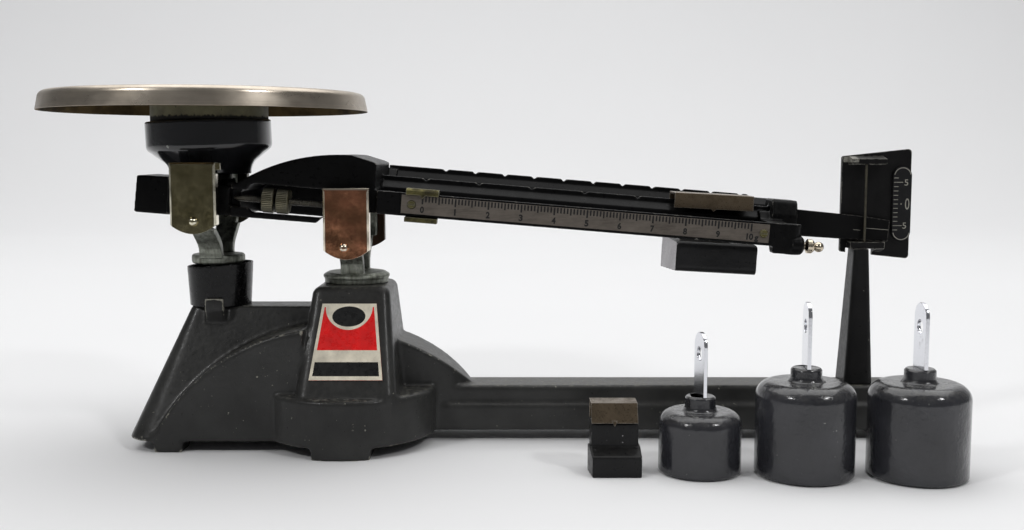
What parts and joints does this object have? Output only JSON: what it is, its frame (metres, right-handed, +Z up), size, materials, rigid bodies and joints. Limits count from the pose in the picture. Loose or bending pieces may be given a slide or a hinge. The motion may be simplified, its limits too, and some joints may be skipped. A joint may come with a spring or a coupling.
{
  "type": "triple beam balance",
  "caption": "Mechanical laboratory balance with a round plate on a tilting notched beam, sliding poises, an indicator dial and loose hanging weights.",
  "frame": {"origin": "on the table plane straight below the fulcrum knife edge, in the middle plane of the beam", "axes": "+X along the beam towards the indicator, +Y away from the user, +Z up"},
  "size_m": [0.3985, 0.1611, 0.1586],
  "materials": {
    "base_enamel": "worn dark grey enamel, chipped at the edges",
    "beam_enamel": "black enamel, satin",
    "bowl_enamel": "glossy dark slate enamel",
    "weight_enamel": "glossy slate grey enamel",
    "poise_enamel": "black enamel with bare zinc ends",
    "bare_zinc": "bare oxidised zinc casting",
    "plate_steel": "turned stainless steel, aged",
    "pan_cover_brass": "tarnished plated brass",
    "fulcrum_cover_copper": "tarnished copper-brown plating",
    "stirrup_brass": "tarnished brass strip",
    "rider_brass": "rough tarnished brass",
    "nut_brass": "knurled tarnished brass",
    "pin_metal": "turned, plated",
    "strap_chrome": "polished, lightly scratched",
    "scale_aluminium": "aged aluminium strip with dark marks",
    "screw_steel": "dull steel",
    "knife_steel": "ground steel",
    "agate": "polished agate",
    "cup_plastic": "glossy black plastic",
    "seat_patina": "dirty tan patina",
    "label_face": "printed metal label, no lettering",
    "dial_black": "black dial with off-white marks"
  },
  "bodies": {
    "base": {"base_casting": "base_enamel", "fulcrum_yoke": "bare_zinc", "yoke_screw": "screw_steel", "fulcrum_agates": "agate", "fulcrum_covers": "fulcrum_cover_copper", "fulcrum_cover_screws": "fulcrum_cover_copper", "nameplate": "label_face", "stem_cup": "cup_plastic", "link_pivot_pin": "screw_steel", "indicator_post": "base_enamel", "post_screw": "screw_steel", "indicator_bracket": "beam_enamel", "bracket_screw": "screw_steel", "indicator_dial": "dial_black", "guard_rod": "screw_steel"},
    "beam": {"beam_casting": "beam_enamel", "fulcrum_knife": "knife_steel", "pan_knife": "knife_steel", "scale_plate": "scale_aluminium", "scale_screws": "rider_brass", "zero_screw": "screw_steel", "load_pins": "pin_metal", "pointer": "beam_enamel"},
    "zero_nut": {"zero_nut": "nut_brass"},
    "lock_nut": {"lock_nut": "nut_brass"},
    "carrier": {"carrier_yoke": "bare_zinc", "pan_agates": "agate", "pan_covers": "pan_cover_brass", "pan_cover_screws": "pan_cover_brass", "plate_support": "bowl_enamel", "support_screw": "screw_steel", "plate_seat": "seat_patina", "stem_pin": "screw_steel"},
    "link": {"check_link": "bare_zinc"},
    "plate": {"weighing_plate": "plate_steel"},
    "poise_500": {"poise_500_block": "poise_enamel", "poise_500_stirrup": "stirrup_brass"},
    "rider": {"rider": "rider_brass"},
    "poise_100": {"poise_100_block": "poise_enamel", "poise_100_stirrup": "stirrup_brass"},
    "weight_500g": {"weight_500g_body": "weight_enamel", "weight_500g_strap": "strap_chrome"},
    "weight_1kg_a": {"weight_1kg_a_body": "weight_enamel", "weight_1kg_a_strap": "strap_chrome"},
    "weight_1kg_b": {"weight_1kg_b_body": "weight_enamel", "weight_1kg_b_strap": "strap_chrome"}
  },
  "joints": [
    {"name": "beam_tilt", "type": "hinge", "parent": "base", "child": "beam", "pos_m": [0, 0, 0.1073], "axis": [0, -1, 0], "range_deg": [0, 5.8]},
    {"name": "carrier_swing", "type": "hinge", "parent": "beam", "child": "carrier", "pos_m": [-0.06697, 0, 0.11281], "axis": [0, -1, 0], "range_deg": [-5.9, 0.1]},
    {"name": "link_tilt", "type": "hinge", "parent": "base", "child": "link", "pos_m": [0.003, 0, 0.03], "axis": [0, -1, 0], "range_deg": [-0.1, 5.9]},
    {"name": "zero_nut_travel", "type": "slide", "parent": "beam", "child": "zero_nut", "axis": [0.9966, 0, -0.0819], "range_m": [-0.004, 0.01]},
    {"name": "lock_nut_travel", "type": "slide", "parent": "beam", "child": "lock_nut", "axis": [0.9966, 0, -0.0819], "range_m": [-0.004, 0.01]},
    {"name": "poise_500_slide", "type": "slide", "parent": "beam", "child": "poise_500", "axis": [0.9966, 0, -0.0819], "range_m": [-0.1317, 0]},
    {"name": "rider_slide", "type": "slide", "parent": "beam", "child": "rider", "axis": [0.9966, 0, -0.0819], "range_m": [0, 0.1439]},
    {"name": "plate_lift", "type": "slide", "parent": "carrier", "child": "plate", "axis": [0, 0, 1], "range_m": [0, 0.03]},
    {"name": "poise_100_lift", "type": "slide", "parent": "base", "child": "poise_100", "axis": [0, 0, 1], "range_m": [0, 0.05]},
    {"name": "weight_500g_lift", "type": "slide", "parent": "base", "child": "weight_500g", "axis": [0, 0, 1], "range_m": [0, 0.05]},
    {"name": "weight_1kg_a_lift", "type": "slide", "parent": "base", "child": "weight_1kg_a", "axis": [0, 0, 1], "range_m": [0, 0.05]},
    {"name": "weight_1kg_b_lift", "type": "slide", "parent": "base", "child": "weight_1kg_b", "axis": [0, 0, 1], "range_m": [0, 0.05]}
  ],
  "couplings": [
    {"joint": "carrier_swing", "follows": "beam_tilt", "ratio": -1},
    {"joint": "link_tilt", "follows": "beam_tilt", "ratio": 1},
    {"joint": "lock_nut_travel", "follows": "zero_nut_travel", "ratio": 1}
  ]
}
